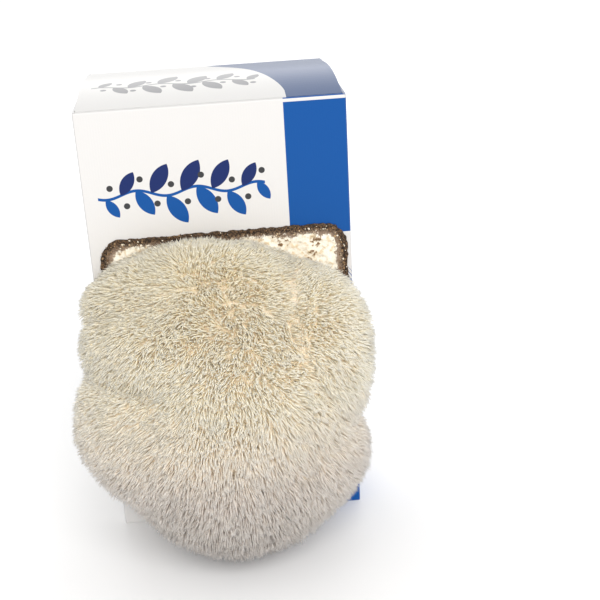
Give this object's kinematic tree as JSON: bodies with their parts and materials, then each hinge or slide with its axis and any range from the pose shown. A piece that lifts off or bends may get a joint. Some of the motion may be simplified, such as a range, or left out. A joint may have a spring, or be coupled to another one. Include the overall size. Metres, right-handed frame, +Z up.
{
  "type": "lion's mane mushroom grow kit",
  "caption": "Upright folded carton with a round-cornered window in its front, a mycelium block inside, and a lobed, spine-covered mushroom grown out through the window.",
  "frame": {"origin": "middle of the carton's base, on the surface it stands on", "axes": "+Z up, the window and the mushroom face -Y, +X to the right of someone who looks at the window"},
  "size_m": [0.1873, 0.2235, 0.286],
  "materials": {
    "printed_board": "smooth coated board with a blue print",
    "grown_substrate": "rough, crumbly, white mycelium over dark sawdust",
    "mushroom_flesh": "matt, covered in fine hanging spines"
  },
  "bodies": {
    "root": {"carton": "printed_board", "substrate_block": "grown_substrate", "lions_mane_fruit_body": "mushroom_flesh"}
  },
  "joints": []
}
